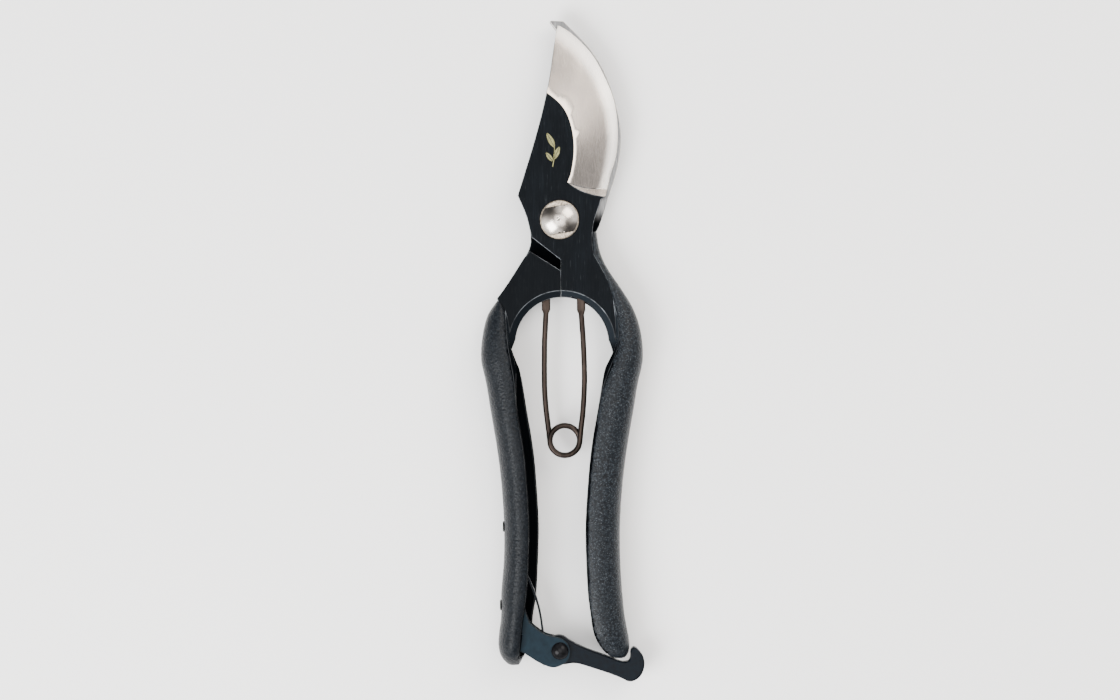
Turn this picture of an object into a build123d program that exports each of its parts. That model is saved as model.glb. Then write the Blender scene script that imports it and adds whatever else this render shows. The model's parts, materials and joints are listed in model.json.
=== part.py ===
from build123d import *
from math import cos, radians, sin
import os

# Floral snips, latched shut and lying flat. Millimetres.
# Origin on the pivot axis at the table; +Y towards the blade tip, +Z up through the thickness.

# ---- plates -------------------------------------------------------------------------------------
REAR_Z = 3.6            # underside of the hook plate
SPLIT_Z = 7.45          # sliding plane between hook plate and blade plate
FRONT_Z = 11.3          # face of the blade plate
SLIDE_GAP = 0.05        # running gap between the two plates
STOP_X = 0.45           # line on which the two shoulders meet when shut
STOP_GAP = 0.06

# ---- blade grind --------------------------------------------------------------------------------
EDGE_Z = 7.85           # height of the cutting edge
GRIND_CURVE = 1.3       # >1 makes the grind hollow
RAMP_LENGTH = 2.6       # run-out at the heel of the grind

# ---- crotch and handles -------------------------------------------------------------------------
CROTCH_R = 14.2
CROTCH_C = (0.75, -37.5)
CROTCH_CHAMFER = 1.9
CENTRE_X = 0.75         # the handles mirror about this line
GRIP_T = 0.9            # grip sleeve thickness
CORE_REACH = 6.0        # how far the core is carried past the open side before trimming
WALL_T = 2.3            # grip and steel channel together
RIM_STEP = 3.0          # how far one rim of the channel stands back from the other
CHANNEL_TOP_Y = -46.0   # from here down the channel follows the handle stations

# ---- pivot --------------------------------------------------------------------------------------
BOLT_R = 4.0
BOLT_HEAD_R = 5.9
BOLT_HEAD_H = 3.0
BOLT_FLAT = 4.15        # axis to each flat of the head
BOLT_TURN = 9.5         # degrees
WASHER_R = 7.6
NUT_FLATS = 13.0
NUT_H = 2.85

# ---- return spring ------------------------------------------------------------------------------
WIRE_R = 0.85
COIL_R = 4.5
COIL_C = (1.6, -66.7)
COIL_LIFT = 1.35        # half the height the wire climbs in its turn and a half
SOCKET_L = (-4.1, -24.1)
SOCKET_R = (6.5, -24.3)
SOCKET_RAD = 3.2
SOCKET_H = 1.9
TIP_W = 2.6
TIP_T = 1.1

# ---- catch --------------------------------------------------------------------------------------
CATCH_C = (0.15, -130.1)
CATCH_RIVET_R = 1.6
CATCH_HEAD_R = 2.6
ARM_HALF = 2.35
CHEEK_IN = 2.55         # split plane of the catch to the inside of each cheek
CHEEK_T = 1.25
BRACKET_RIVET_Y = -116.5
LEAF_RIVET_Y = -92.7
LEAF_T = 0.6
LEAF_HALF = 2.2

# handle stations: y, outer x, inner x, rim half height, greatest half height, rim step share
SHARED_RUN = [
    (-43.0, 25.15, 14.3, 4.5, 7.0, 0.15),
    (-47.7, 24.1, 13.1, 5.6, 7.2, 0.5),
    (-55.0, 22.8, 11.9, 6.3, 7.35, 0.9),
    (-69.4, 20.4, 9.5, 6.4, 7.4, 1.0),
    (-80.0, 19.1, 8.5, 6.4, 7.4, 1.0),
    (-93.6, 18.3, 7.8, 6.4, 7.4, 1.0),
    (-105.0, 18.5, 8.1, 6.4, 7.4, 1.0),
    (-115.0, 19.2, 8.8, 6.4, 7.35, 1.0),
]
RIGHT_RUN = [
    (-3.5, 11.2, 9.6, 2.9, 3.0, 0.0),
    (-8.6, 12.0, 9.8, 3.6, 3.7, 0.0),
    (-13.9, 14.1, 12.1, 3.8, 3.9, 0.0),
    (-18.8, 17.3, 14.5, 3.8, 4.2, 0.0),
    (-26.0, 21.9, 16.4, 3.8, 5.0, 0.0),
    (-33.2, 24.5, 17.0, 3.8, 6.0, 0.0),
    (-38.4, 25.2, 16.3, 4.0, 6.6, 0.0),
] + SHARED_RUN + [
    (-120.0, 19.8, 9.5, 6.3, 7.2, 1.0),
    (-124.9, 20.7, 10.4, 5.8, 6.8, 0.9),
    (-128.6, 21.2, 12.2, 4.6, 5.7, 0.6),
    (-131.0, 20.8, 14.2, 2.9, 3.9, 0.3),
    (-132.5, 19.5, 16.6, 1.1, 1.5, 0.0),
]
LEFT_RUN = [
    (-22.2, 17.6, 15.4, 3.3, 3.4, 0.0),
    (-26.4, 21.85, 18.2, 3.6, 4.5, 0.0),
    (-33.2, 24.5, 16.6, 3.8, 6.0, 0.0),
    (-38.4, 25.2, 15.7, 4.0, 6.6, 0.0),
] + SHARED_RUN + [
    (-120.0, 19.2, 9.6, 6.4, 7.3, 1.0),
    (-125.0, 19.8, 10.2, 6.2, 7.1, 1.0),
    (-129.5, 19.9, 11.2, 6.0, 6.8, 0.8),
    (-132.6, 18.8, 12.4, 4.0, 4.9, 0.4),
    (-134.6, 16.6, 13.8, 1.4, 1.8, 0.0),
]

CHANNEL_START = [
    (-36.5, 21.0, 16.5, 3.0, 4.3, 0.0),
    (-41.0, 24.6, 15.0, 4.2, 5.9, 0.1),
]

# plan curves, each read from the tip end towards the handle end
CUTTING_EDGE = [(-0.6, 59.1), (3.6, 56.6), (7.0, 53.5), (9.6, 50.6), (13.2, 44.4), (15.8, 38.5),
                (17.4, 31.6), (17.65, 24.7), (17.1, 19.1), (15.6, 14.0), (14.5, 9.6), (14.2, 7.4)]
BLADE_RIGHT = [(12.5, 6.2), (11.7, 3.6), (10.5, 0.0), (9.9, -4.2), (9.9, -7.2), (10.5, -10.6)]
RIGHT_SHOULDER = [(10.5, -10.6), (12.3, -13.9), (14.8, -18.8), (16.7, -26.0), (17.3, -33.2),
                  (16.6, -38.4), (14.6, -43.4)]
BLADE_SPINE = [(-12.6, 7.3), (-8.0, 22.3), (-5.6, 31.0), (-2.9, 44.0), (-1.5, 54.0), (-0.6, 59.1)]
BLADE_WAIST = [(-8.35, -5.3), (-9.2, -1.9), (-9.8, 0.5), (-10.7, 3.0), (-12.6, 7.3)]
GRIND_LINE = [(-9.0, 42.0), (-3.2, 37.6), (0.75, 34.0), (3.5, 27.7), (4.2, 22.0), (3.5, 15.0), (1.6, 8.0)]
GRIND_EDGE = [(-4.0, 62.0), (4.5, 56.0), (13.2, 44.4), (17.4, 31.6), (17.6, 24.0), (16.2, 15.0), (14.0, 5.0)]
RAMP_LINE = [(-14.0, 21.5), (-5.0, 15.9), (2.6, 11.1), (5.0, 9.5), (7.7, 8.25), (13.4, 6.95), (20.5, 6.5)]
HOOK_OUTER = [(1.15, 60.3), (5.9, 55.7), (9.8, 51.2), (14.0, 44.0), (17.3, 34.3), (18.6, 27.0),
              (18.3, 19.8), (16.7, 12.6), (14.3, 5.4), (12.8, 0.5), (11.9, -1.9), (9.5, -5.3)]
HOOK_INNER = [(0.0, 11.5), (5.4, 20.0), (8.0, 33.0), (6.4, 44.0), (2.6, 52.5), (-0.9, 57.5)]
HOOK_WAIST = [(-8.7, -6.7), (-8.9, -2.0), (-8.6, 3.5), (-5.4, 8.6), (0.0, 11.5)]
LEFT_GRIP_LINE = [(-13.1, -43.4), (-15.1, -38.4), (-16.0, -33.2), (-17.2, -28.0), (-18.9, -23.8)]
LEFT_SHOULDER = [(-18.9, -23.8), (-16.95, -21.2), (-13.7, -16.3), (-10.7, -11.5)]
LEFT_NECK = [(-10.7, -11.5), (-9.2, -8.7), (-8.7, -6.7)]
CHEEK_EDGE = [(-9.1, -121.6), (-6.2, -123.9), (-4.0, -125.2), (-2.2, -125.7), (-0.15, -126.1),
              (1.6, -127.0), (2.75, -128.5), (3.2, -130.4), (2.3, -133.2), (1.0, -134.2),
              (-1.9, -135.1), (-4.0, -134.6), (-6.9, -133.2), (-10.3, -131.0)]
ARM_LOWER = [(2.3, -134.3), (4.7, -134.0), (8.1, -134.8), (12.5, -136.2), (16.8, -137.7), (19.6, -138.9)]
ARM_KNOB = [(19.6, -138.9), (21.8, -139.5), (24.0, -138.4), (25.5, -135.8), (25.4, -132.2),
            (23.8, -129.9), (22.5, -129.1), (21.6, -129.9), (21.4, -131.6), (20.7, -133.3)]
ARM_UPPER = [(20.7, -133.3), (19.2, -133.5), (16.1, -132.5), (9.9, -130.2), (4.7, -128.0), (1.6, -126.0)]
LEAF_PATH = [(-14.0, -89.5), (-14.1, -96.0), (-12.9, -101.5), (-9.6, -108.0), (-7.4, -113.4),
             (-6.1, -118.0), (-5.2, -123.5), (-4.85, -128.5), (-4.85, -132.0), (-4.6, -134.6)]
LEFT_LEG = [(-4.1, -27.2), (-4.3, -32.0), (-4.55, -38.0), (-4.55, -50.0), (-4.1, -57.0), (-3.35, -63.0)]
RIGHT_LEG = [(6.55, -27.2), (6.85, -32.0), (7.25, -38.0), (7.55, -48.0), (7.15, -57.0), (6.5, -63.0)]


def edge_through(points, z=0.0):
    """A straight edge through two plan points, a smooth one through more; an edge passes as it is."""
    if isinstance(points, Edge):
        return points
    spots = [(*point, z) for point in points]
    return Line(*spots) if len(spots) == 2 else Spline(*spots)


def plate(runs, low, high):
    """Solid between two heights inside a closed chain of plan runs."""
    face = Face(Wire([edge_through(run) for run in runs]))
    return Pos(0, 0, low) * extrude(face, high - low, dir=(0, 0, 1))


def crotch_arc(start_x, end_x):
    """The round of the crotch between two x positions, at plan height zero."""
    spots = []
    for x in (start_x, (start_x + end_x) / 2, end_x):
        rise = (CROTCH_R ** 2 - (x - CROTCH_C[0]) ** 2) ** 0.5
        spots.append((x, CROTCH_C[1] + rise))
    return spots


def section(station, inset, reach, left):
    """One D-shaped cross-section of a handle, open side towards the centre line."""
    y, outer, inner, rim, tall, share = station
    far = outer - inset
    near_front = inner - reach
    near_rear = inner + RIM_STEP * share - reach
    width = far - near_front
    rim_h, tall_h = rim - inset, tall - inset
    spots = [
        (near_front, rim_h), (near_front + 0.42 * width, tall_h), (far - 0.13 * width, 0.66 * tall_h),
        (far, 0.0), (far - 0.13 * width, -0.66 * tall_h),
        (near_rear + 0.42 * (far - near_rear), -tall_h), (near_rear, -rim_h),
    ]
    if left:
        spots = [(2 * CENTRE_X - x, -z) for x, z in spots]
    spots = [(x, y, SPLIT_Z + z) for x, z in spots]
    return Face(Wire([Spline(*spots), Line(spots[-1], spots[0])]))


def handle_body(run, inset, reach, left):
    """Loft along a handle, shrunk by `inset`, its open side carried `reach` further in."""
    stations = run[:-1] if inset else run
    return loft([section(station, inset, reach, left) for station in stations])


def grind_surface():
    """Hollow-ground surface from the grind line down to the cutting edge."""
    top, low = edge_through(GRIND_LINE), edge_through(GRIND_EDGE)
    rows = []
    for i in range(13):
        start, end = top @ (i / 12), low @ (i / 12)
        row = []
        for j in range(9):
            share = -0.06 + 1.4 * j / 8
            spot = start + (end - start) * share
            fall = (1 - share) ** GRIND_CURVE if share < 1 else 1 - share
            row.append(Vector(spot.X, spot.Y, EDGE_Z + (FRONT_Z - EDGE_Z) * fall))
        rows.append(row)
    return Face.make_surface_from_array_of_points(rows, smoothing=None)


def grind_tool():
    """Everything the grinding wheel takes off the blade."""
    above = extrude(grind_surface(), 8, dir=(0, 0, 1))
    slope = (FRONT_Z - EDGE_Z) / RAMP_LENGTH
    edges = []
    for z in (FRONT_Z + 2, EDGE_Z - 2):
        shift = (FRONT_Z - z) / slope
        edges.append(edge_through([(x + 0.25 * shift, y + shift) for x, y in RAMP_LINE], z))
    ramp = Face.make_surface_from_curves(edges[0], edges[1])
    beyond = extrude(ramp, 70, dir=(0, 1, 0))
    return above & beyond


def crotch_chamfers():
    """Cones that break the front and rear edges of the crotch."""
    wide = CROTCH_R + CROTCH_CHAMFER + 1
    tall = CROTCH_CHAMFER + 1
    front = Pos(*CROTCH_C, FRONT_Z - CROTCH_CHAMFER + tall / 2) * Cone(CROTCH_R, wide, tall)
    rear = Pos(*CROTCH_C, REAR_Z + CROTCH_CHAMFER - tall / 2) * Cone(wide, CROTCH_R, tall)
    return front + rear


def drill(radius, low, high, spot=(0.0, 0.0)):
    return Pos(*spot, (low + high) / 2) * Cylinder(radius, high - low)


def socket(spot, z):
    """Half-round slot in the crotch face that takes a flattened spring tip."""
    return Pos(*spot, z) * Cylinder(SOCKET_RAD, SOCKET_H)


def left_rivet(y, inner_x, head_r, shank_r):
    """Rivet through the outer wall of the left handle, along X."""
    outer = 2 * CENTRE_X - outer_at(LEFT_RUN, y)
    head = Pos(outer + 0.15, y, SPLIT_Z) * Rot(0, 90, 0) * Cylinder(head_r, 1.0)
    head = fillet(head.edges().filter_by(GeomType.CIRCLE).sort_by(Axis.X)[0], 0.45)
    length = inner_x - outer
    shank = Pos((inner_x + outer) / 2, y, SPLIT_Z) * Rot(0, 90, 0) * Cylinder(shank_r, length)
    peen = Pos(inner_x + 0.3, y, SPLIT_Z) * Rot(0, 90, 0) * Cylinder(shank_r + 0.5, 0.6)
    return head + shank + peen


def outer_at(run, y):
    """Outer x of a handle at a given y, straight between stations."""
    for above, below in zip(run, run[1:]):
        if above[0] >= y >= below[0]:
            share = (above[0] - y) / (above[0] - below[0])
            return above[1] + share * (below[1] - above[1])


def handle_parts(run, left):
    """Grip sleeve, steel core and channel hollow of one handle."""
    outer = handle_body(run, 0, 0, left)
    core = handle_body(run, GRIP_T, CORE_REACH, left)
    channel_run = CHANNEL_START + [station for station in run[:-3] if station[0] < CHANNEL_TOP_Y]
    hollow = loft([section(station, WALL_T, 4.0, left) for station in channel_run])
    return outer - core, core & outer, hollow


def make_blade_half(core, hollow):
    stop = STOP_X + STOP_GAP / 2
    arc = crotch_arc(14.94, stop)
    inner_run = [RIGHT_SHOULDER[-1], arc[0]]
    crown = ThreePointArc(*arc)
    front_runs = [CUTTING_EDGE, [CUTTING_EDGE[-1], BLADE_RIGHT[0]], BLADE_RIGHT, RIGHT_SHOULDER, inner_run,
                  crown, [arc[2], (stop, -12.2)], [(stop, -12.2), BLADE_WAIST[0]], BLADE_WAIST, BLADE_SPINE]
    front = plate(front_runs, SPLIT_Z + SLIDE_GAP / 2, FRONT_Z)
    rear_runs = [RIGHT_SHOULDER, inner_run, crown, [arc[2], (stop, -15.3)], [(stop, -15.3), (1.35, -14.8)],
                 [(1.35, -14.8), (9.7, -9.6)], [(9.7, -9.6), RIGHT_SHOULDER[0]]]
    rear = plate(rear_runs, REAR_Z, SPLIT_Z + 1)
    clear = Pos(12, 0, SPLIT_Z + SLIDE_GAP / 2 - 5) * Box(12, 17.2, 10)
    plates = front + rear
    body = plates + (core - clear) - hollow
    body = body - grind_tool() - crotch_chamfers() - socket(SOCKET_R, SPLIT_Z + COIL_LIFT)
    return body - drill(BOLT_R, REAR_Z - 1, FRONT_Z + 1), plates, clear


def make_hook_half(core, hollow):
    stop = STOP_X - STOP_GAP / 2
    arc = crotch_arc(stop, -13.44)
    crown = ThreePointArc(*arc)
    inner_run = [arc[2], LEFT_GRIP_LINE[0]]
    beak = [HOOK_INNER[-1], (-3.0, 60.1), (-2.6, 60.5), HOOK_OUTER[0]]
    rear_runs = [HOOK_OUTER, [HOOK_OUTER[-1], (stop, -12.2)], [(stop, -12.2), arc[0]], crown, inner_run,
                 LEFT_GRIP_LINE, LEFT_SHOULDER, LEFT_NECK, HOOK_WAIST, HOOK_INNER]
    rear_runs += [list(pair) for pair in zip(beak, beak[1:])]
    rear = plate(rear_runs, REAR_Z, SPLIT_Z - SLIDE_GAP / 2)
    front_runs = [LEFT_GRIP_LINE, LEFT_SHOULDER, [LEFT_SHOULDER[-1], (-9.0, -9.5)],
                  [(-9.0, -9.5), (-0.45, -14.8)], [(-0.45, -14.8), (stop, -15.4)],
                  [(stop, -15.4), arc[0]], crown, inner_run]
    front = plate(front_runs, SPLIT_Z - 1, FRONT_Z)
    plates = rear + front
    body = plates + core - hollow
    body = body - crotch_chamfers() - socket(SOCKET_L, SPLIT_Z - COIL_LIFT)
    return body - drill(BOLT_R + SLIDE_GAP, REAR_Z - 1, SPLIT_Z + 1), plates


def make_bolt():
    """Domed head with two flats, plain shank and threaded end."""
    low = FRONT_Z + 0.02
    cap_r = (BOLT_HEAD_R ** 2 + BOLT_HEAD_H ** 2) / (2 * BOLT_HEAD_H) + 1.2
    ball = Pos(0, 0, low + BOLT_HEAD_H - cap_r) * Sphere(cap_r)
    head = drill(BOLT_HEAD_R, low, low + BOLT_HEAD_H) & ball
    for way in (-1, 1):
        block = Pos(0, way * (BOLT_FLAT + 5), low + 0.9 + 5) * Box(20, 10, 10)
        head = head - Rot(0, 0, BOLT_TURN) * block
    head = head - Pos(-0.4, 0.2, low + BOLT_HEAD_H + 0.35) * Sphere(0.65)
    shank = drill(BOLT_R, REAR_Z - 0.75, low + 0.5)
    stud = drill(BOLT_R - 0.8, 0.0, REAR_Z)
    return head + shank + stud


def make_washer():
    """Dished spring washer, its rim towards the hook plate."""
    cup = Pos(0, 0, NUT_H + 0.35) * (Cone(WASHER_R - 1.6, WASHER_R, 0.7) - Cone(WASHER_R - 2.4, WASHER_R - 0.8, 0.7))
    disc = drill(WASHER_R - 1.5, NUT_H, NUT_H + 0.4)
    return cup + disc - drill(BOLT_R + 0.05, 0, 6)


def make_nut():
    nut = extrude(RegularPolygon(NUT_FLATS / 2, 6, major_radius=False), NUT_H, dir=(0, 0, 1))
    nut = nut & (Pos(0, 0, NUT_H / 2 - 0.4) * Cone(NUT_FLATS / 2 + 3.0, NUT_FLATS / 2 + 0.2, NUT_H + 0.8)
                 + Pos(0, 0, NUT_H / 2 + 0.4) * Cone(NUT_FLATS / 2 + 0.2, NUT_FLATS / 2 + 3.0, NUT_H + 0.8))
    return nut - drill(BOLT_R - 0.8, -1, NUT_H + 1)


def coil_points(start, end):
    """Points on the coil between two turning angles, 0 at the right, negative downwards."""
    count = max(2, int(abs(end - start) / 24) + 1)
    spots = []
    for i in range(count + 1):
        turn = start + (end - start) * i / count
        z = SPLIT_Z + COIL_LIFT * (1 + 2 * turn / 540)
        spots.append((COIL_C[0] + COIL_R * cos(radians(turn)), COIL_C[1] + COIL_R * sin(radians(turn)), z))
    return spots


def wire_along(spots):
    path = Spline(*spots)
    return sweep(Plane(origin=path @ 0, z_dir=path % 0) * Circle(WIRE_R), path=path)


def spring_tip(x, y, z):
    """Flattened end of a leg, tapering back to the wire."""
    flat = Pos(x, y - 0.1, z) * Box(TIP_W, 5.0, TIP_T)
    flat = fillet(flat.edges().filter_by(Axis.Z).group_by(Axis.Y)[-1], 0.9)
    wide = Plane(origin=(x, y - 2.6, z), x_dir=(1, 0, 0), z_dir=(0, -1, 0)) * Rectangle(TIP_W, TIP_T)
    slim = Plane(origin=(x, y - 3.5, z), x_dir=(1, 0, 0), z_dir=(0, -1, 0)) * Rectangle(1.7, 1.5)
    return flat + loft([wide, slim])


def make_spring_legs():
    left_z, right_z = SPLIT_Z - COIL_LIFT, SPLIT_Z + COIL_LIFT
    left = wire_along([(*spot, left_z) for spot in LEFT_LEG] + coil_points(-540, -98))
    right = wire_along([(*spot, right_z) for spot in RIGHT_LEG] + coil_points(0, -70))
    return left + spring_tip(*SOCKET_L, left_z), right + spring_tip(*SOCKET_R, right_z)


def make_bracket():
    """Folded clevis: two cheeks and a web riveted to the back of the left channel."""
    cheek_runs = [CHEEK_EDGE, [CHEEK_EDGE[-1], (-13.6, -129.5)], [(-13.6, -129.5), (-13.6, -112.5)],
                  [(-13.6, -112.5), (-12.4, -112.5)], [(-12.4, -112.5), CHEEK_EDGE[0]]]
    outer = CHEEK_IN + CHEEK_T
    front = plate(cheek_runs, SPLIT_Z + CHEEK_IN, SPLIT_Z + outer)
    rear = plate(cheek_runs, SPLIT_Z - outer, SPLIT_Z - CHEEK_IN)
    web = Pos(-14.0, -121.0, SPLIT_Z) * Box(1.2, 17.0, 2 * outer)
    both = front + rear + web
    return both - drill(CATCH_RIVET_R, 0, 20, CATCH_C)


def bracket_seat():
    """Room cut in the left handle for the clevis and its web."""
    half = CHEEK_IN + CHEEK_T + 0.1
    seat = Pos(-9.7, -122.0, SPLIT_Z) * Box(9.8, 20.0, 2 * half)
    return seat + Pos(-9.0, -131.5, SPLIT_Z) * Box(3.6, 3.0, 2 * half)


def make_catch_rivet():
    top = SPLIT_Z + CHEEK_IN + CHEEK_T
    low = SPLIT_Z - CHEEK_IN - CHEEK_T
    shank = drill(CATCH_RIVET_R, low - 0.2, top + 0.2, CATCH_C)
    dome = drill(CATCH_HEAD_R, top, top + 1.5, CATCH_C) & (Pos(*CATCH_C, top - 1.65) * Sphere(3.15))
    foot = drill(CATCH_HEAD_R, low - 0.8, low, CATCH_C)
    foot = chamfer(foot.edges().filter_by(GeomType.CIRCLE).sort_by(Axis.Z)[0], 0.4)
    return shank + dome + foot


def make_arm():
    """Catch arm: square cam round the rivet, rounded rod and hook knob."""
    cx, cy = CATCH_C
    cam = [[ARM_UPPER[-1], (-1.5, -125.7), (-3.4, -127.0), (cx - 4.5, -129.0)],
           [(cx - 4.5, -129.0), (cx - 4.5, -132.4)], [(cx - 4.5, -132.4), (-2.6, cy - 4.4)],
           [(-2.6, cy - 4.4), ARM_LOWER[0]]]
    arm = plate([ARM_LOWER, ARM_KNOB, ARM_UPPER] + cam, SPLIT_Z - ARM_HALF, SPLIT_Z + ARM_HALF)
    rims = arm.edges().group_by(Axis.Z)
    arm = fillet(rims[0] + rims[-1], 0.6)
    return arm - drill(CATCH_RIVET_R + 0.06, 0, 20, CATCH_C)


def make_leaf():
    """Leaf spring: a strip riveted inside the channel, its end resting on the cam."""
    path = Spline(*LEAF_PATH)
    face = Plane(origin=(*LEAF_PATH[0], 0), x_dir=(1, 0, 0), z_dir=(0, -1, 0)) * Rectangle(LEAF_T, 2 * LEAF_HALF)
    strip = sweep(face, path=path)
    return Pos(0, 0, SPLIT_Z) * strip


def main():
    os.makedirs("parts", exist_ok=True)
    sleeve_r, core_r, hollow_r = handle_parts(RIGHT_RUN, False)
    sleeve_l, core_l, hollow_l = handle_parts(LEFT_RUN, True)
    blade, blade_plates, clear = make_blade_half(core_r, hollow_r)
    hook, hook_plates = make_hook_half(core_l, hollow_l)
    bracket_rivet = left_rivet(BRACKET_RIVET_Y, -13.4, 1.7, 1.1)
    leaf_rivet = left_rivet(LEAF_RIVET_Y, -14.3, 1.7, 1.1)
    seat = bracket_seat()
    grip_r = sleeve_r - blade_plates - clear
    grip_l = sleeve_l - hook_plates - seat
    left_leg, right_leg = make_spring_legs()
    leaf = make_leaf()
    nodes = {
        "blade_half": blade,
        "hook_half": hook - seat - leaf - bracket_rivet - leaf_rivet,
        "grip_right": grip_r,
        "grip_left": grip_l - bracket_rivet - leaf_rivet,
        "pivot_bolt": make_bolt(),
        "pivot_washer": make_washer(),
        "pivot_nut": make_nut(),
        "spring_left_leg": left_leg,
        "spring_right_leg": right_leg,
        "catch_arm": make_arm(),
        "catch_bracket": make_bracket() - bracket_rivet,
        "catch_rivet": make_catch_rivet(),
        "catch_leaf_spring": leaf - leaf_rivet,
        "bracket_rivet": bracket_rivet,
        "leaf_spring_rivet": leaf_rivet,
    }
    for name, shape in nodes.items():
        export_step(shape, f"parts/{name}.step")
        print(name, len(shape.solids()), round(shape.volume, 1), shape.bounding_box())


main()
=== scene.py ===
import json
import math

import bmesh
import bpy
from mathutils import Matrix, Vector


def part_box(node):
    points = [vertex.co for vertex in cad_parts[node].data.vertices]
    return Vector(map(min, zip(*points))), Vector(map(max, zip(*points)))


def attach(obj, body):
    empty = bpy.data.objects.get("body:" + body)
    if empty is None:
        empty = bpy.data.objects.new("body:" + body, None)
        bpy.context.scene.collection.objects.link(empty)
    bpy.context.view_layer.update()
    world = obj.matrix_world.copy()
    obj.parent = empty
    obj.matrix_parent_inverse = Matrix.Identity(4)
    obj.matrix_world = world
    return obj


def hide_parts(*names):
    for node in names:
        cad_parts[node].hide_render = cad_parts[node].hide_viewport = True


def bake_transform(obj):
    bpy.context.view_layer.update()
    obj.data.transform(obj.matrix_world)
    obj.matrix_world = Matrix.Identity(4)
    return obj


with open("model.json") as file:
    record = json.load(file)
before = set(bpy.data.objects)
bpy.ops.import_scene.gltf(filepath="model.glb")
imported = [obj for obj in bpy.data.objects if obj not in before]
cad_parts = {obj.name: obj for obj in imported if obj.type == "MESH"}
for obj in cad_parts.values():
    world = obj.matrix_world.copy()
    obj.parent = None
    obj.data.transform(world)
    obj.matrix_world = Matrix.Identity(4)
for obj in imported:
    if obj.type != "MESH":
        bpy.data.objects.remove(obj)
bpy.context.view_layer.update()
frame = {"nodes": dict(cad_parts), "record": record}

MM = 0.001

# ---- places read from the frame ---------------------------------------------------------------
JOINTS = {joint["name"]: joint for joint in frame["record"]["behaviour"]["joints"]}
COIL = Vector(JOINTS["spring_coil_hinge"]["pos_m"])
SOCKET = Vector(JOINTS["spring_socket_hinge"]["pos_m"])
HEAD_H = 3.0                    # height of the bolt head above the blade, mm
FACE_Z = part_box("pivot_bolt")[1][2] - HEAD_H * MM   # face of the blade, under the bolt head
SLIDE_Z = (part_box("spring_left_leg")[0][2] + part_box("spring_right_leg")[1][2]) / 2

# ---- limits of the finishes, mm -----------------------------------------------------------------
CHANNEL_Y = (-40.0, -35.0)      # painted shade: the steel fades to unlit black from here down
GAP_SHADOW_LIFT = (0.2, 0.4)        # painted gap shadow: black up to this height above the sliding plane
GAP_Y = (0.0, 2.0)              # and below here
GRIND_START_Y = (5.2, 5.6)      # no grinding below
GRIND_DEPTH = (0.10, 0.05)      # the grind begins this far below the face
RUNOUT_Y = (13.0, 16.0)         # painted sheen: the steep end of the grind is lighter below
HONED_Z = (8.0, 8.6)            # the grind is lightest below this height, by the cutting edge
EDGE_Z = (8.3, 8.7)             # an edge is honed bright below this height
EDGE_Y = (4.0, 7.0)             # and from here up
RIM_Y = (-1.0, 4.0)             # the hook is bare steel from here up
RIM_Z = (5.2, 5.9)              # and from this height up
WEAR_Y = (-31.0, -26.0)         # the edges are hardly worn below
LEFT_X = (-3.0, 3.0)            # the left sleeve is darker than the right one
LEDGE_LIFT = (0.98, 1.04)       # the flats of the bolt head end this far above the face

# ---- dressing of the CAD nodes ------------------------------------------------------------------
WELD_MM = 0.002
FLAT_ANGLE = 0.05               # degrees, faces flatter than this are joined
SHARP_ANGLE = 32.0              # degrees, edges sharper than this are broken
BEVEL_SEGMENTS = 2


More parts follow.
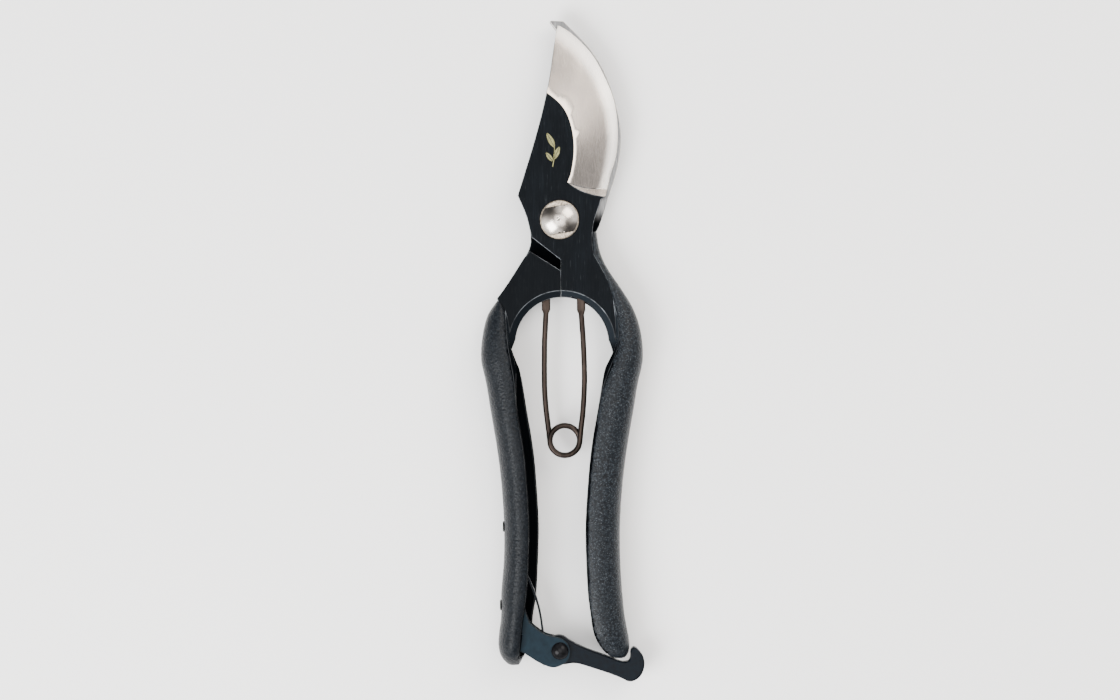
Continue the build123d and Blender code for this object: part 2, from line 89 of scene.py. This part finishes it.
# ---- shader graph helpers -----------------------------------------------------------------------
class Graph:
    """A principled material and the few node recipes the finishes share."""

    def __init__(self, name):
        self.material = bpy.data.materials.new(name)
        self.material.use_nodes = True
        self.tree = self.material.node_tree
        self.shader = self.tree.nodes["Principled BSDF"]
        coord = self.add("ShaderNodeTexCoord")
        self.place = coord.outputs["Object"]
        self.x, self.y, self.z = self.xyz(self.place)
        self.tilt_x, self.tilt_y, self.tilt_z = self.xyz(coord.outputs["Normal"])

    def add(self, kind):
        return self.tree.nodes.new(kind)

    def put(self, socket, value):
        if isinstance(value, bpy.types.NodeSocket):
            self.tree.links.new(value, socket)
        elif hasattr(value, "__len__") and len(value) == 3 and socket.type == "RGBA":
            socket.default_value = (*value, 1.0)
        else:
            socket.default_value = value

    def set(self, **values):
        for name, value in values.items():
            self.put(self.shader.inputs[name.replace("_", " ")], value)

    def xyz(self, vector):
        node = self.add("ShaderNodeSeparateXYZ")
        self.put(node.inputs[0], vector)
        return node.outputs

    def scaled(self, x, y, z):
        node = self.add("ShaderNodeMapping")
        self.put(node.inputs["Vector"], self.place)
        node.inputs["Scale"].default_value = (x, y, z)
        return node.outputs["Vector"]

    def noise(self, vector, scale=1.0, detail=3.0, rough=0.5, twist=0.0):
        node = self.add("ShaderNodeTexNoise")
        self.put(node.inputs["Vector"], vector)
        node.inputs["Scale"].default_value = scale
        node.inputs["Detail"].default_value = detail
        node.inputs["Roughness"].default_value = rough
        node.inputs["Distortion"].default_value = twist
        return node.outputs["Fac"]

    def cells(self, scale):
        node = self.add("ShaderNodeTexVoronoi")
        node.feature = "SMOOTH_F1"
        self.put(node.inputs["Vector"], self.place)
        node.inputs["Scale"].default_value = scale
        return node.outputs["Distance"]

    def math(self, kind, a, b):
        node = self.add("ShaderNodeMath")
        node.operation = kind
        self.put(node.inputs[0], a)
        self.put(node.inputs[1], b)
        return node.outputs[0]

    def both(self, a, b):
        return self.math("MULTIPLY", a, b)

    def rise(self, value, low, high, out_low=0.0, out_high=1.0):
        """Smooth step of value from low to high."""
        node = self.add("ShaderNodeMapRange")
        node.interpolation_type = "SMOOTHSTEP"
        for name, item in (("Value", value), ("From Min", low), ("From Max", high),
                           ("To Min", out_low), ("To Max", out_high)):
            self.put(node.inputs[name], item)
        return node.outputs["Result"]

    def above(self, value, band, offset=0.0):
        """0 below a band of millimetres, 1 above it."""
        return self.rise(value, offset + band[0] * MM, offset + band[1] * MM)

    def under(self, value, band, offset=0.0):
        """1 below a band of millimetres, 0 above it."""
        return self.rise(value, offset + band[0] * MM, offset + band[1] * MM, 1.0, 0.0)

    def ramp(self, value, *stops):
        node = self.add("ShaderNodeValToRGB")
        self.put(node.inputs["Fac"], value)
        marks = node.color_ramp.elements
        while len(marks) < len(stops):
            marks.new(0.5)
        for mark, (spot, colour) in zip(marks, stops):
            mark.position = spot
            mark.color = (*colour, 1.0)
        return node.outputs["Color"]

    def mix(self, share, a, b):
        """Colour between a and b; a colour Mix node keeps its colours in sockets 6, 7 and out 2."""
        node = self.add("ShaderNodeMix")
        node.data_type = "RGBA"
        self.put(node.inputs["Factor"], share)
        self.put(node.inputs[6], a)
        self.put(node.inputs[7], b)
        return node.outputs[2]

    def blend(self, share, a, b):
        """Number between a and b."""
        return self.rise(share, 0.0, 1.0, a, b)

    def bump(self, height, depth_mm, strength):
        node = self.add("ShaderNodeBump")
        node.inputs["Strength"].default_value = strength
        node.inputs["Distance"].default_value = depth_mm * MM
        self.put(node.inputs["Height"], height)
        self.set(Normal=node.outputs["Normal"])


# ---- finishes -----------------------------------------------------------------------------------
OXIDE_DARK = (0.0005, 0.0010, 0.0018)
OXIDE_MID = (0.0018, 0.0030, 0.0045)
OXIDE_LIGHT = (0.011, 0.014, 0.017)
OXIDE_SCRATCH = (0.05, 0.055, 0.06)
# painted sheen on faces tilted like a chamfer
CHAMFER_SHEEN = (0.011, 0.0145, 0.0185)
UNLIT = (0.0006, 0.0009, 0.0013)
# painted reflection on the grind, from its steep to its flat parts
GRIND_SHADED_STEEP = (0.24, 0.215, 0.195)
GRIND_HALF_LIT = (0.42, 0.37, 0.325)
GRIND_LIT_FLAT = (0.90, 0.77, 0.65)
GRIND_RUNOUT_SHEEN = (0.85, 0.76, 0.68)
GRIND_LINES = (0.30, 0.275, 0.255)
HONED = (0.95, 0.92, 0.88)
EDGE_RUBBED = (0.11, 0.12, 0.13)
EDGE_HONED = (0.60, 0.57, 0.53)
COAT_WORN = (0.0030, 0.0046, 0.0070)
# painted glints on the grip coating
COAT_GLINT = (0.085, 0.094, 0.104)
COAT_LEFT = (0.0010, 0.0020, 0.0036)
NICKEL_SHADE = (0.030, 0.027, 0.025)
WIRE_LINES = (0.05, 0.036, 0.03)

# colours along a ramp: position, colour
# painted highlight: the raised middles of the grains are lightest
COAT_LIT_GRAIN_TONES = ((0.08, (0.022, 0.027, 0.033)), (0.38, (0.0050, 0.0070, 0.0095)),
              (0.75, (0.0008, 0.0013, 0.0020)))
RIM_TONES = ((0.3, (0.07, 0.072, 0.075)), (0.6, (0.16, 0.16, 0.16)), (0.8, (0.30, 0.295, 0.29)))
NICKEL_TONES = ((0.3, (0.38, 0.34, 0.30)), (0.6, (0.56, 0.51, 0.46)), (0.8, (0.70, 0.65, 0.60)))
CUT_TONES = ((0.35, (0.16, 0.13, 0.10)), (0.55, (0.42, 0.36, 0.29)), (0.75, (0.75, 0.68, 0.58)))
WIRE_TONES = ((0.28, (0.009, 0.0065, 0.0055)), (0.55, (0.026, 0.019, 0.0155)),
              (0.78, (0.055, 0.042, 0.035)))
INK_TONES = ((0.35, (0.085, 0.080, 0.028)), (0.65, (0.24, 0.23, 0.095)))


def brushed_oxide(graph):
    """Colour, roughness and height of the black steel with its lengthwise grinding lines, painted sheen
    on its chamfers and painted shade in the channel and the gap.
    """
    lines = graph.noise(graph.scaled(9500, 120, 900), 1.0, 5.0, 0.62)
    broad = graph.noise(graph.scaled(300, 60, 300), 1.0, 3.0, 0.5)
    scratch = graph.noise(graph.scaled(12000, 260, 900), 1.0, 2.0, 0.4, 0.3)
    tone = graph.ramp(lines, (0.30, OXIDE_DARK), (0.55, OXIDE_MID), (0.80, OXIDE_LIGHT))
    tone = graph.mix(graph.rise(broad, 0.35, 0.75, 0.0, 0.6), tone, OXIDE_DARK)
    tone = graph.mix(graph.rise(scratch, 0.68, 0.76, 0.0, 0.5), tone, OXIDE_SCRATCH)
    # painted sheen: faces tilted like a chamfer are painted lighter
    chamfer_sheen = graph.both(graph.rise(graph.tilt_z, 0.45, 0.60),
                         graph.rise(graph.tilt_z, 0.80, 0.95, 1.0, 0.0))
    tone = graph.mix(graph.both(chamfer_sheen, 0.8), tone, CHAMFER_SHEEN)
    # painted shade: below the channel line and in the gap by the sliding plane the steel is painted
    # black, dull and with little reflection
    channel_shade = graph.under(graph.y, CHANNEL_Y)
    gap_shadow = graph.both(graph.under(graph.z, GAP_SHADOW_LIFT, SLIDE_Z), graph.under(graph.y, GAP_Y))
    painted_shade = graph.math("MAXIMUM", channel_shade, gap_shadow)
    tone = graph.mix(painted_shade, tone, UNLIT)
    gloss = graph.blend(painted_shade, graph.rise(lines, 0.3, 0.8, 0.46, 0.34), 0.75)
    graph.set(Specular_IOR_Level=graph.blend(painted_shade, 0.045, 0.02))
    return tone, gloss, lines


def polished_grind(graph):
    """Colour, roughness and height of the bright hollow grind, with painted reflection: darker where it
    is steeper.
    """
    fine = graph.noise(graph.scaled(6500, 380, 600), 1.0, 4.0, 0.6)
    cloud = graph.noise(graph.scaled(95, 60, 60), 1.0, 2.0, 0.45, 0.4)
    # painted reflection: the grind is painted lighter where it faces up and darker where it is steeper
    flat = graph.rise(graph.math("ADD", graph.tilt_z, graph.both(cloud, 0.03)), 0.984, 1.018)
    tone = graph.ramp(flat, (0.0, GRIND_SHADED_STEEP), (0.5, GRIND_HALF_LIT), (1.0, GRIND_LIT_FLAT))
    # painted sheen on the steep end of the grind
    runout_sheen = graph.both(graph.under(graph.y, RUNOUT_Y), graph.rise(graph.tilt_z, 0.75, 0.88, 1.0, 0.0))
    tone = graph.mix(runout_sheen, tone, GRIND_RUNOUT_SHEEN)
    tone = graph.mix(graph.rise(fine, 0.35, 0.8, 0.0, 0.22), tone, GRIND_LINES)
    return tone, graph.rise(fine, 0.3, 0.8, 0.20, 0.32), fine


def blade_steel():
    """Black blade with a bright grind, told apart by height, place and slope."""
    graph = Graph("blade_steel")
    tone, gloss, lines = brushed_oxide(graph)
    shine, shine_gloss, fine = polished_grind(graph)
    below = graph.rise(graph.z, FACE_Z - GRIND_DEPTH[0] * MM, FACE_Z - GRIND_DEPTH[1] * MM, 1.0, 0.0)
    sloped = graph.both(graph.rise(graph.tilt_z, 0.35, 0.55), below)
    ground = graph.both(sloped, graph.above(graph.y, GRIND_START_Y))
    shine = graph.mix(graph.both(graph.under(graph.z, HONED_Z), 0.6), shine, HONED)
    graph.set(Base_Color=graph.mix(ground, tone, shine),
              Metallic=graph.blend(ground, 0.05, 1.0),
              Roughness=graph.blend(ground, gloss, shine_gloss))
    graph.bump(graph.blend(ground, lines, graph.both(fine, 0.25)), 0.012, 0.5)
    return graph.material


def hook_steel():
    """Black hook half, bare grey steel on the rim that stands out beyond the blade."""
    graph = Graph("hook_steel")
    tone, gloss, lines = brushed_oxide(graph)
    tone = graph.mix(0.55, tone, OXIDE_DARK)
    fine = graph.noise(graph.scaled(4200, 300, 900), 1.0, 4.0, 0.6)
    share = graph.both(graph.above(graph.y, RIM_Y), graph.above(graph.z, RIM_Z))
    graph.set(Base_Color=graph.mix(share, tone, graph.ramp(fine, *RIM_TONES)),
              Metallic=graph.blend(share, 0.05, 1.0),
              Roughness=graph.blend(share, gloss, 0.30))
    graph.bump(lines, 0.012, 0.5)
    return graph.material


def worn_edge(name, low, high):
    """Broken lighter line where handling has rubbed an edge, bright along the cutting edge."""
    graph = Graph(name)
    wear = graph.noise(graph.place, 420.0, 5.0, 0.65)
    shown = graph.rise(graph.y, WEAR_Y[0] * MM, WEAR_Y[1] * MM, 0.12, 1.0)
    share = graph.both(graph.rise(wear, low, high), shown)
    honed = graph.both(graph.under(graph.z, EDGE_Z), graph.above(graph.y, EDGE_Y))
    tone = graph.mix(share, OXIDE_MID, EDGE_RUBBED)
    graph.set(Base_Color=graph.mix(honed, tone, EDGE_HONED),
              Metallic=graph.math("MAXIMUM", graph.rise(share, 0.0, 1.0, 0.2, 0.9), honed),
              Roughness=graph.rise(wear, 0.3, 0.7, 0.32, 0.5),
              Specular_IOR_Level=0.2)
    return graph.material


def crinkle_coat():
    """Blue-black textured coating with painted highlights on the tops of its grains and painted glints in
    fine specks.
    """
    graph = Graph("grip_coating")
    grain = graph.cells(1700.0)
    fine = graph.noise(graph.place, 3200.0, 4.0, 0.6)
    broad = graph.noise(graph.place, 60.0, 3.0, 0.5)
    # painted highlight: the raised middles of the grains are painted lighter
    tone = graph.ramp(grain, *COAT_LIT_GRAIN_TONES)
    tone = graph.mix(graph.rise(broad, 0.35, 0.7, 0.0, 0.35), tone, COAT_WORN)
    # painted glints: fine light specks on the coating
    tone = graph.mix(graph.rise(fine, 0.57, 0.68, 0.0, 0.6), tone, COAT_GLINT)
    left = graph.rise(graph.x, LEFT_X[0] * MM, LEFT_X[1] * MM, 0.6, 0.0)
    graph.set(Base_Color=graph.mix(left, tone, COAT_LEFT),
              Roughness=graph.rise(fine, 0.3, 0.7, 0.30, 0.48),
              Specular_IOR_Level=0.13)
    graph.bump(graph.math("ADD", graph.both(grain, -0.8), graph.both(fine, 0.35)), 0.16, 0.9)
    return graph.material


def nickel():
    """Nickel dome with painted shade on two opposite quarters, above rough brown flats."""
    graph = Graph("nickel")
    cloud = graph.noise(graph.place, 260.0, 3.0, 0.55)
    fine = graph.noise(graph.scaled(2600, 2600, 600), 1.0, 4.0, 0.6)
    deep = graph.under(graph.z, LEDGE_LIFT, FACE_Z)
    # painted shade: the dome is painted darker on two opposite quarters, by the slope of its surface
    quarter = graph.math("ADD", graph.both(graph.tilt_x, graph.tilt_y), graph.both(cloud, 0.03))
    shade = graph.both(graph.rise(quarter, -0.09, 0.05, 1.0, 0.0), 0.85)
    tone = graph.mix(shade, graph.ramp(cloud, *NICKEL_TONES), NICKEL_SHADE)
    graph.set(Base_Color=graph.mix(deep, tone, graph.ramp(fine, *CUT_TONES)), Metallic=1.0,
              Roughness=graph.blend(deep, graph.rise(cloud, 0.3, 0.8, 0.17, 0.27), 0.45))
    graph.bump(fine, 0.05, 0.10)
    return graph.material


def plain_metal(name, dark, light, rough, metallic, scale):
    """Metal or paint with cloudy tone, fine grain and matching roughness."""
    graph = Graph(name)
    cloud = graph.noise(graph.place, scale, 4.0, 0.6)
    fine = graph.noise(graph.place, scale * 6, 3.0, 0.6)
    graph.set(Base_Color=graph.ramp(cloud, (0.3, dark), (0.72, light)), Metallic=metallic,
              Roughness=graph.rise(cloud, 0.3, 0.7, rough[0], rough[1]),
              Specular_IOR_Level=0.08)
    graph.bump(fine, 0.01, 0.6)
    return graph.material


def spring_steel():
    """Oil-tempered wire: bronze brown with drawn lines."""
    graph = Graph("spring_steel")
    cloud = graph.noise(graph.scaled(300, 60, 300), 1.0, 4.0, 0.6)
    fine = graph.noise(graph.scaled(3500, 260, 3500), 1.0, 3.0, 0.6)
    drawn = graph.rise(fine, 0.55, 0.75, 0.0, 0.35)
    graph.set(Base_Color=graph.mix(drawn, graph.ramp(cloud, *WIRE_TONES), WIRE_LINES),
              Metallic=0.9, Roughness=graph.rise(fine, 0.3, 0.7, 0.26, 0.42))
    graph.bump(fine, 0.01, 0.5)
    return graph.material


def gold_ink():
    graph = Graph("mark_ink")
    patch = graph.noise(graph.place, 2600.0, 3.0, 0.6)
    graph.set(Base_Color=graph.ramp(patch, *INK_TONES), Metallic=0.4,
              Roughness=graph.rise(patch, 0.3, 0.7, 0.35, 0.55))
    return graph.material


def pale_floor():
    graph = Graph("floor")
    patch = graph.noise(graph.place, 6.0, 2.0, 0.5)
    graph.set(Base_Color=graph.ramp(patch, (0.3, (0.90, 0.90, 0.90)), (0.7, (0.92, 0.92, 0.92))),
              Roughness=0.9)
    return graph.material


# ---- CAD nodes: weld, break the edges, give finishes -------------------------------------------
def dress(node, material, edge, width):
    """Finish on a CAD node, its sharp edges broken to a width in mm, with a finish of their own."""
    obj = frame["nodes"][node]
    obj.data.materials.clear()
    obj.data.materials.append(material)
    if edge:
        obj.data.materials.append(edge)
    weld = obj.modifiers.new("weld", "WELD")
    weld.merge_threshold = WELD_MM * MM
    flat = obj.modifiers.new("flat", "DECIMATE")
    flat.decimate_type = "DISSOLVE"
    flat.angle_limit = math.radians(FLAT_ANGLE)
    bevel = obj.modifiers.new("edges", "BEVEL")
    bevel.limit_method = "ANGLE"
    bevel.angle_limit = math.radians(SHARP_ANGLE)
    bevel.width = width * MM
    bevel.segments = BEVEL_SEGMENTS
    bevel.use_clamp_overlap = False
    if edge:
        bevel.material = 1
    normal = obj.modifiers.new("normals", "WEIGHTED_NORMAL")
    normal.keep_sharp = False
    for face in obj.data.polygons:
        face.use_smooth = True


def mesh_object(name, mesh, material):
    obj = bpy.data.objects.new(name, mesh)
    bpy.context.scene.collection.objects.link(obj)
    mesh.materials.clear()
    mesh.materials.append(material)
    for face in mesh.polygons:
        face.use_smooth = True
    return obj


def applied(obj):
    """Mesh of an object with its modifiers applied."""
    graph = bpy.context.evaluated_depsgraph_get()
    return bpy.data.meshes.new_from_object(obj.evaluated_get(graph))


VOXEL_MM = 0.34
GRAIN = (("grain", "VORONOI", 0.95, -0.075), ("waves", "CLOUDS", 2.6, 0.045))   # name, kind, size, depth


def crinkled(node, body, material):
    """Grip sleeve remade from its CAD node, with real grain standing on the coating."""
    copy = bpy.data.objects.new(node + "_sleeve", frame["nodes"][node].data.copy())
    bpy.context.scene.collection.objects.link(copy)
    weld = copy.modifiers.new("weld", "WELD")
    weld.merge_threshold = WELD_MM * MM
    remesh = copy.modifiers.new("remesh", "REMESH")
    remesh.mode = "VOXEL"
    remesh.voxel_size = VOXEL_MM * MM
    smooth = copy.modifiers.new("smooth", "SMOOTH")
    smooth.factor = 0.5
    smooth.iterations = 3
    for label, kind, size, depth in GRAIN:
        texture = bpy.data.textures.new(node + label, kind)
        texture.noise_scale = size * MM
        push = copy.modifiers.new(label, "DISPLACE")
        push.texture = texture
        push.texture_coords = "LOCAL"
        push.strength = depth * MM
        push.mid_level = 0.5
    mesh = applied(copy)
    bpy.data.objects.remove(copy)
    sleeve = mesh_object(node + "_sleeve", mesh, material)
    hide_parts(node)
    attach(sleeve, body)


# ---- the spring as one wire ---------------------------------------------------------------------
WIRE_R = 0.85
COIL_R = 4.5
COIL_TURN = 540.0               # degrees
COIL_STEPS = 19
TIP_HALF = (1.3, 0.55)          # half width and half thickness of the flattened ends
TIP_LENGTH = 6.4
TIP_TAPER = 0.9
TIP_NOSE = 1.0                  # length of the rounded nose of a tip
NOSE_SHARE = 0.55               # its width at the very end, as a share of the tip's
ROUND = 2.0                     # exponent of a round section
SQUARED = 5.0                   # exponent of a flattened one
AROUND = 20                     # points round the wire
LINE_STEPS = 8                  # points between two points of the wire's line
LEG_LIFT = 1.35
# from the left socket's centre, mm
LEFT_LEG = [(0.0, 2.4), (0.0, -3.1), (-0.2, -7.9), (-0.45, -13.9), (-0.45, -25.9), (0.0, -32.9),
            (0.75, -38.9)]
RIGHT_LEG = [(10.65, 2.2), (10.65, -3.1), (10.95, -7.9), (11.35, -13.9), (11.65, -23.9), (11.25, -32.9),
             (10.6, -38.9)]


def smooth_line(points):
    """Catmull-Rom line through points."""
    ends = [points[0] * 2 - points[1]] + points + [points[-1] * 2 - points[-2]]
    line = []
    for a, b, c, d in zip(ends, ends[1:], ends[2:], ends[3:]):
        for i in range(LINE_STEPS):
            t = i / LINE_STEPS
            line.append(0.5 * ((2 * b) + (c - a) * t + (2 * a - 5 * b + 4 * c - d) * t * t
                               + (3 * b - 3 * c + d - a) * t ** 3))
    return line + [points[-1]]


def leg_points(leg, lift):
    return [Vector((SOCKET.x + x * MM, SOCKET.y + y * MM, SLIDE_Z + lift * MM)) for x, y in leg]


def spring_wire():
    """Centre line from the right tip, round a turn and a half, to the left tip."""
    turns = []
    for i in range(COIL_STEPS):
        turn = -COIL_TURN * (i + 0.5) / COIL_STEPS
        z = SLIDE_Z + LEG_LIFT * MM * (1 + 2 * turn / COIL_TURN)
        turns.append(Vector((COIL.x + COIL_R * MM * math.cos(math.radians(turn)),
                             COIL.y + COIL_R * MM * math.sin(math.radians(turn)), z)))
    legs = leg_points(RIGHT_LEG, LEG_LIFT), leg_points(LEFT_LEG, -LEG_LIFT)[::-1]
    return smooth_line(legs[0] + turns + legs[1])


def wire_section(reach):
    """Half widths across and through the wire, and its exponent, so far from the nearer end."""
    if reach > TIP_LENGTH:
        return WIRE_R, WIRE_R, ROUND
    share = min(1.0, max(0.0, (TIP_LENGTH - reach) / TIP_TAPER))
    share = share * share * (3 - 2 * share)
    across = WIRE_R + (TIP_HALF[0] - WIRE_R) * share
    through = WIRE_R + (TIP_HALF[1] - WIRE_R) * share
    if reach < TIP_NOSE:
        arc = math.sqrt(max(0.0, 1 - (1 - reach / TIP_NOSE) ** 2))
        across *= NOSE_SHARE + (1 - NOSE_SHARE) * arc
    return across, through, ROUND + (SQUARED - ROUND) * share


def ring_round(mesh, spot, ahead, section):
    """One loop of points round the wire."""
    across, through, power = section
    side = ahead.cross(Vector((0, 0, 1))).normalized()
    over = side.cross(ahead).normalized()
    ring = []
    for j in range(AROUND):
        turn = 2 * math.pi * j / AROUND
        c, s = math.cos(turn), math.sin(turn)
        u = math.copysign(abs(c) ** (2 / power), c) * across * MM
        v = math.copysign(abs(s) ** (2 / power), s) * through * MM
        ring.append(mesh.verts.new(spot + side * u + over * v))
    return ring


def build_spring(material):
    """The whole spring as one wire between its two rigid halves."""
    line = spring_wire()
    walked = [0.0]
    for a, b in zip(line, line[1:]):
        walked.append(walked[-1] + (b - a).length / MM)
    mesh = bmesh.new()
    rings = []
    for i, spot in enumerate(line):
        ahead = line[min(i + 1, len(line) - 1)] - line[max(i - 1, 0)]
        rings.append(ring_round(mesh, spot, ahead, wire_section(min(walked[i], walked[-1] - walked[i]))))
    for one, two in zip(rings, rings[1:]):
        for j in range(AROUND):
            k = (j + 1) % AROUND
            mesh.faces.new((one[j], one[k], two[k], two[j]))
    mesh.faces.new(rings[0][::-1])
    mesh.faces.new(rings[-1])
    bmesh.ops.recalc_face_normals(mesh, faces=mesh.faces)
    data = bpy.data.meshes.new("return_spring")
    mesh.to_mesh(data)
    mesh.free()
    spring = mesh_object("return_spring", data, material)
    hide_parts("spring_left_leg", "spring_right_leg")
    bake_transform(spring)


# ---- small generic leaf mark on the blade -------------------------------------------------------
MARK_BASE = (-1.7, 17.2)
MARK_LIFT = 0.04
LEAVES = ((28, (0.2, 4.6), 5.0, 0.85), (-24, (0.0, 1.0), 4.2, 0.8), (38, (-0.3, 0.4), 3.4, 0.65))
STEM = [(-0.5, -1.2), (-0.22, -1.25), (0.12, 0.8), (0.3, 4.8), (0.12, 4.9), (-0.1, 0.9)]
VEIN_HALF = 0.07
LEAF_STEPS = 14


def leaf_outline(length, width):
    """One side of a leaf, from its foot to its tip."""
    side = []
    for i in range(LEAF_STEPS + 1):
        t = i / LEAF_STEPS
        side.append((width * math.sin(math.pi * t) ** 0.8 * (1 - 0.25 * t), length * t))
    return side


def build_mark(material):
    """Three small leaves on a stem, each leaf in two halves with a vein between them."""
    mesh = bmesh.new()
    base = Vector((MARK_BASE[0] * MM, MARK_BASE[1] * MM, FACE_Z + MARK_LIFT * MM))
    for turn, shift, length, width in LEAVES:
        c, s = math.cos(math.radians(turn)), math.sin(math.radians(turn))
        half = leaf_outline(length, width)
        for way in (-1, 1):
            outside = [(way * (u + VEIN_HALF), v) for u, v in half]
            loop = outside + [(way * VEIN_HALF, v) for u, v in half[::-1]]
            spots = []
            for u, v in loop:
                x, y = u * c - v * s, u * s + v * c
                spots.append(mesh.verts.new(base + Vector(((x + shift[0]) * MM, (y + shift[1]) * MM, 0))))
            mesh.faces.new(spots if way < 0 else spots[::-1])
    mesh.faces.new([mesh.verts.new(base + Vector((x * MM, y * MM, 0))) for x, y in STEM])
    bmesh.ops.remove_doubles(mesh, verts=mesh.verts, dist=0.001 * MM)
    bmesh.ops.triangulate(mesh, faces=mesh.faces)
    for face in mesh.faces:
        if face.normal.z < 0:
            face.normal_flip()
    data = bpy.data.meshes.new("leaf_mark")
    mesh.to_mesh(data)
    mesh.free()
    mark = mesh_object("leaf_mark", data, material)
    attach(mark, "blade_side")


# ---- stage --------------------------------------------------------------------------------------
STAGE_CENTRE = (0.0, -0.04, 0.0)
VIEW_WIDTH = 337.86             # mm seen from side to side at the face of the blade
VIEW_CENTRE = (0.15, -39.3)
FLOOR_HALF = 3.0                # metres
FLOOR_DROP = 0.10               # mm
LENS = 100.0
SENSOR = 36.0


def area_light(name, place, size, power, colour):
    """Square light aimed at the middle of the tool."""
    light = bpy.data.lights.new(name, "AREA")
    light.size = size
    light.energy = power
    light.color = colour
    obj = bpy.data.objects.new(name, light)
    obj.location = place
    obj.rotation_euler = (Vector(STAGE_CENTRE) - Vector(place)).to_track_quat("-Z", "Y").to_euler()
    bpy.context.scene.collection.objects.link(obj)


def soft_sky(tree):
    """Studio surround, brighter towards the lower left and the upper right than across them."""
    add, link = tree.nodes.new, tree.links.new
    split = add("ShaderNodeSeparateXYZ")
    link(add("ShaderNodeTexCoord").outputs["Generated"], split.inputs[0])
    along = add("ShaderNodeMath")
    along.operation = "ADD"
    link(split.outputs[0], along.inputs[0])
    link(split.outputs[1], along.inputs[1])
    size = add("ShaderNodeMath")
    size.operation = "ABSOLUTE"
    link(along.outputs[0], size.inputs[0])
    level = add("ShaderNodeMapRange")
    level.interpolation_type = "SMOOTHSTEP"
    for name, value in (("From Min", 0.1), ("From Max", 0.9), ("To Min", 0.55), ("To Max", 1.6)):
        level.inputs[name].default_value = value
    link(size.outputs[0], level.inputs["Value"])
    link(level.outputs["Result"], tree.nodes["Background"].inputs["Strength"])
    tree.nodes["Background"].inputs["Color"].default_value = (1.0, 1.0, 1.0, 1.0)


def build_stage():
    """Pale floor, even surround, three soft lights and the camera straight above."""
    mesh = bpy.data.meshes.new("floor")
    half = FLOOR_HALF
    corners = [(-half, -half, 0), (half, -half, 0), (half, half, 0), (-half, half, 0)]
    mesh.from_pydata(corners, [], [(0, 1, 2, 3)])
    floor = bpy.data.objects.new("floor", mesh)
    bpy.context.scene.collection.objects.link(floor)
    mesh.materials.append(pale_floor())
    floor.location.z = -FLOOR_DROP * MM
    world = bpy.context.scene.world or bpy.data.worlds.new("world")
    bpy.context.scene.world = world
    world.use_nodes = True
    soft_sky(world.node_tree)
    area_light("overhead", (0.05, -0.04, 1.30), 0.95, 13.0, (1.0, 0.975, 0.95))
    area_light("key", (-0.55, -0.45, 0.75), 0.6, 19.0, (1.0, 1.0, 1.0))
    area_light("fill", (0.55, 0.50, 0.70), 0.6, 9.0, (1.0, 0.93, 0.86))
    data = bpy.data.cameras.new("camera")
    data.lens = LENS
    data.sensor_width = SENSOR
    camera = bpy.data.objects.new("camera", data)
    camera.location = (VIEW_CENTRE[0] * MM, VIEW_CENTRE[1] * MM, FACE_Z + VIEW_WIDTH * MM * LENS / SENSOR)
    bpy.context.scene.collection.objects.link(camera)
    bpy.context.scene.camera = camera


def main():
    """Stage, then every piece with its finish."""
    build_stage()
    edge = worn_edge("worn_edge", 0.36, 0.60)
    catch_edge = worn_edge("catch_edge", 0.46, 0.72)
    catch = plain_metal("catch_steel", (0.0006, 0.0016, 0.0032), (0.0022, 0.0045, 0.0075),
                        (0.30, 0.44), 0.1, 700.0)
    clevis = plain_metal("clevis_steel", (0.0028, 0.0072, 0.0115), (0.0065, 0.0145, 0.021),
                         (0.42, 0.58), 0.1, 500.0)
    gloss = plain_metal("black_rivet", (0.002, 0.002, 0.0025), (0.008, 0.008, 0.009),
                        (0.16, 0.26), 0.2, 900.0)
    zinc = plain_metal("zinc", (0.34, 0.34, 0.33), (0.58, 0.57, 0.55), (0.3, 0.45), 1.0, 900.0)
    dress("blade_half", blade_steel(), edge, 0.13)
    dress("hook_half", hook_steel(), edge, 0.13)
    dress("pivot_bolt", nickel(), None, 0.10)
    dress("pivot_washer", zinc, None, 0.08)
    dress("pivot_nut", zinc, None, 0.15)
    dress("catch_arm", catch, None, 0.2)
    dress("catch_bracket", clevis, catch_edge, 0.14)
    dress("catch_rivet", gloss, None, 0.15)
    dress("catch_leaf_spring", catch, catch_edge, 0.08)
    dress("bracket_rivet", gloss, None, 0.08)
    dress("leaf_spring_rivet", gloss, None, 0.08)
    coat = crinkle_coat()
    crinkled("grip_right", "blade_side", coat)
    crinkled("grip_left", "hook_side", coat)
    build_spring(spring_steel())
    build_mark(gold_ink())


main()
